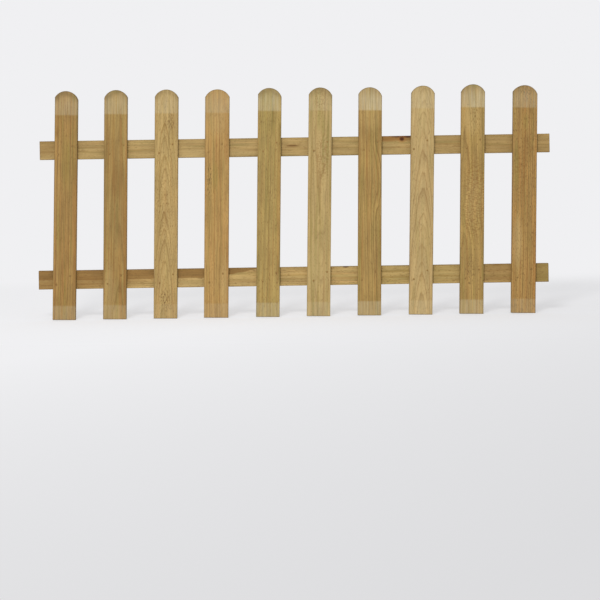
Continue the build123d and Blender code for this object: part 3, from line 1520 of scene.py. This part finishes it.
@dataclass
class Studio:
    """A pale sweep with one soft key from the upper left, and light from all round, in metres."""

    low: Vector
    high: Vector
    backdrop: str = "#F0F0F2"
    around: float = 0.64  # the light from all round, where 1 is white
    key: float = 0.48  # the key's light on a white card that faces it
    key_right: float = 0.0  # where it hangs, in metres from the panel's left end
    key_before: float = 4.0  # in front of the pales' faces
    key_above: float = 2.8  # above the floor
    key_size: float = 1.3  # from rim to rim
    floor_reach: float = 60.0
    shadow_share: float = 0.5  # of the floor's full shadow that the camera sees
    shadow_middle: float = 0.65  # how far behind the panel that holds, where its shadow lies
    shadow_fades: tuple[float, float] = (0.6, 1.4)  # and how far from there the share ends
    shadow_stretch: float = 2.5  # how much farther it ends to either side
    front_shade: float = 0.83  # painted shade: the floor's falling off towards the camera and the right
    front_reach: float = 3.2
    rightwards: float = 1.3  # how much more it falls off to the right than to the front
    shade_wanes: float = 3.2  # how far from the panel it begins to wane, evenly up to the horizon

    def build(self) -> None:
        """Make the floor, the world and the key."""
        self._world()
        self._key()
        self._floor()
        LOG.info("studio: floor at %.4f m", self.low.z)

    def _world(self) -> None:
        """Even light, in front of a pale backdrop that cameras and shiny metal see."""
        world = bpy.data.worlds.new("studio")
        bpy.context.scene.world = world
        world.use_nodes = True
        tree = world.node_tree
        tree.nodes.clear()
        light = add_node(tree, "Background", {"Color": (1, 1, 1, 1), "Strength": self.around})
        paper = add_node(tree, "Background", {"Color": linear(self.backdrop), "Strength": 1.0})
        both = add_node(tree, "MixShader", (self._seen(tree), light, paper))
        add_node(tree, "OutputWorld", {"Surface": both})

    @staticmethod
    def _seen(tree: bpy.types.NodeTree) -> Socket:
        """Tell the rays that see the backdrop from those that only light the panel.

        Args:
            tree: The node tree that asks.

        Returns:
            1 on rays from the camera, off shiny metal or through glass, and 0 on others.
        """
        seen = add_node(tree, "LightPath", out="Is Camera Ray")
        for ray in ("Is Glossy Ray", "Is Transmission Ray"):
            other = add_node(tree, "LightPath", out=ray)
            seen = add_node(tree, "Math", (seen, other), operation="MAXIMUM")
        return seen

    def _to_key(self) -> Vector:
        """The way from the middle of the panel's feet to the key."""
        half_length = (self.high.x - self.low.x) / 2
        return Vector((self.key_right - half_length, -self.key_before, self.key_above))

    def _key(self) -> None:
        """Hang the key, a broad round lamp, near enough for the shadows to spread.

        Its light doesn't fall off, as that of a bank of lamps hardly does.
        """
        lamp = bpy.data.lights.new("key", "AREA")
        lamp.shape = "DISK"
        lamp.size = self.key_size
        lamp.energy = self.key * math.pi**2
        lamp.use_nodes = True
        tree = lamp.node_tree
        tree.nodes.clear()
        even = add_node(tree, "LightFalloff", {"Strength": 1.0}, "Constant")
        light = add_node(tree, "Emission", {"Strength": even})
        add_node(tree, "OutputLight", {"Surface": light})
        key = bpy.data.objects.new("key", lamp)
        feet = Vector(((self.low.x + self.high.x) / 2, self.low.y, self.low.z))
        key.location = feet + self._to_key()
        key.rotation_euler = self._to_key().to_track_quat("Z", "Y").to_euler()
        key.visible_camera = False
        bpy.context.scene.collection.objects.link(key)

    def _floor(self) -> None:
        """A floor whose lit colour meets the backdrop, so that no horizon shows."""
        middle = (self.low + self.high) / 2
        reach = self.floor_reach
        corners = [(-reach, -reach), (reach, -reach), (reach, reach), (-reach, reach)]
        mesh = bpy.data.meshes.new("floor")
        points = [(middle.x + x, middle.y + y, self.low.z) for x, y in corners]
        mesh.from_pydata(points, [], [(0, 1, 2, 3)])
        floor = bpy.data.objects.new("floor", mesh)
        bpy.context.scene.collection.objects.link(floor)
        mesh.materials.append(self._paper())
        floor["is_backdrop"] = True

    def _falling_off(self, tree: bpy.types.NodeTree, place: Socket) -> Socket:
        """Paint shade on the floor, darker towards the camera and the right, but not near the horizon.

        Args:
            tree: The node tree of its card.
            place: Each point's place in the frame.

        Returns:
            How light each point is beside the backdrop.
        """
        middle = (self.low.x + self.high.x) / 2
        inputs = (place, (self.rightwards, -1.0, 0))
        nearness = add_node(tree, "VectorMath", inputs, "Value", operation="DOT_PRODUCT")
        inputs = (place, (middle, self.low.y, self.low.z))
        from_panel = add_node(tree, "VectorMath", inputs, "Value", operation="DISTANCE")
        near = add_node(tree, "Math", (self.shade_wanes, from_panel), operation="DIVIDE")
        inputs = (near, 0.0, 1.0, 1.0, self.front_shade)
        darkest = add_node(tree, "MapRange", inputs, **SMOOTH)
        start = self.rightwards * middle
        inputs = (nearness, start, start + self.front_reach, 1.0, darkest)
        return add_node(tree, "MapRange", inputs)

    def _plain_share(self, tree: bpy.types.NodeTree, place: Socket) -> Socket:
        """Tell how far each point of the floor shows its plain tone in place of light and shadow.

        Args:
            tree: The node tree of its card.
            place: Each point's place in the frame.

        Returns:
            A share from 0 to 1, which is 0 for rays that only light the panel.
        """
        middle, stretch = (self.low.x + self.high.x) / 2, self.shadow_stretch
        inputs = (place, (1 / stretch, 1, 0), (-middle / stretch, -self.shadow_middle, 0))
        away = add_node(tree, "VectorMath", inputs, operation="MULTIPLY_ADD")
        away = add_node(tree, "VectorMath", (away,), "Value", operation="LENGTH")
        inputs = (away, *self.shadow_fades, 1 - self.shadow_share, 1.0)
        share = add_node(tree, "MapRange", inputs, **SMOOTH)
        return add_node(tree, "Math", (self._seen(tree), share), operation="MULTIPLY")

    def _paper(self) -> bpy.types.Material:
        """Draw the floor's card, half lit and half its plain tone, so that its shadow stays faint.

        Returns:
            The material.
        """
        # Uncoated card scatters all light, so the eye gets one flat tone with a faint soft shadow
        made = new_material("uncoated_card")
        tree = made.node_tree
        lit = self.around + self.key * self._to_key().normalized().z
        card = [share / lit for share in linear(self.backdrop)[:3]] + [1.0]
        place = add_node(tree, "TexCoord", out="Object")
        shade = self._falling_off(tree, place)
        tones = []
        for tone in (card, linear(self.backdrop)):
            colours = {0: 1.0, 6: tone, 7: shade}
            tones.append(add_node(tree, "Mix", colours, 2, data_type="RGBA", blend_type="MULTIPLY"))
        inputs = {"Base Color": tones[0], "Roughness": 1.0, "Specular IOR Level": 0.0}
        lit_card = add_node(tree, "BsdfPrincipled", inputs)
        paper = add_node(tree, "Emission", {"Color": tones[1], "Strength": 1.0})
        both = add_node(tree, "MixShader", (self._plain_share(tree, place), lit_card, paper))
        add_node(tree, "OutputMaterial", {"Surface": both})
        return made


@dataclass
class Camera:
    """A level view from straight in front, in metres, with a long lens, turned about its own axis."""

    low: Vector
    high: Vector
    distance: float = 4.2  # to the pales' faces
    height: float = 0.453  # above the feet
    right_of_middle: float = 0.022
    focal_pixels: float = 1190.5
    roll: float = 0.884  # degrees that the panel rises to the right in the picture
    axis_row: float = 188.35  # the picture's row that the lens points at, in pixels from the top
    sensor: float = 36.0  # millimetres
    sees_to: float = 500.0

    def build(self) -> None:
        """Make the camera and look through it."""
        lens = bpy.data.cameras.new("camera")
        lens.sensor_width = self.sensor
        lens.lens = self.sensor * self.focal_pixels / IMAGE_SIDE
        lens.shift_y = (self.axis_row - IMAGE_SIDE / 2) / IMAGE_SIDE
        lens.clip_end = self.sees_to
        camera = bpy.data.objects.new("camera", lens)
        middle = (self.low.x + self.high.x) / 2
        camera.location = (
            middle + self.right_of_middle,
            self.low.y - self.distance,
            self.low.z + self.height,
        )
        upright = Matrix.Rotation(math.radians(90), 4, "X")
        turn = Matrix.Rotation(math.radians(-self.roll), 4, "Z")
        camera.rotation_euler = (upright @ turn).to_euler()
        bpy.context.scene.collection.objects.link(camera)
        bpy.context.scene.camera = camera
        LOG.info("camera: %.1f mm lens", lens.lens)


def main() -> None:
    """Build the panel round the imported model, and the studio round the panel."""
    logging.basicConfig(level=logging.INFO, format="%(name)s: %(message)s")
    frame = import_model()
    cad_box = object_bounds()
    FencePanel(frame["nodes"]).build()
    Studio(*cad_box).build()
    Camera(*cad_box).build()
    bpy.context.scene.view_settings.view_transform = "Standard"
    bpy.context.view_layer.update()


if __name__ == "__main__":
    main()
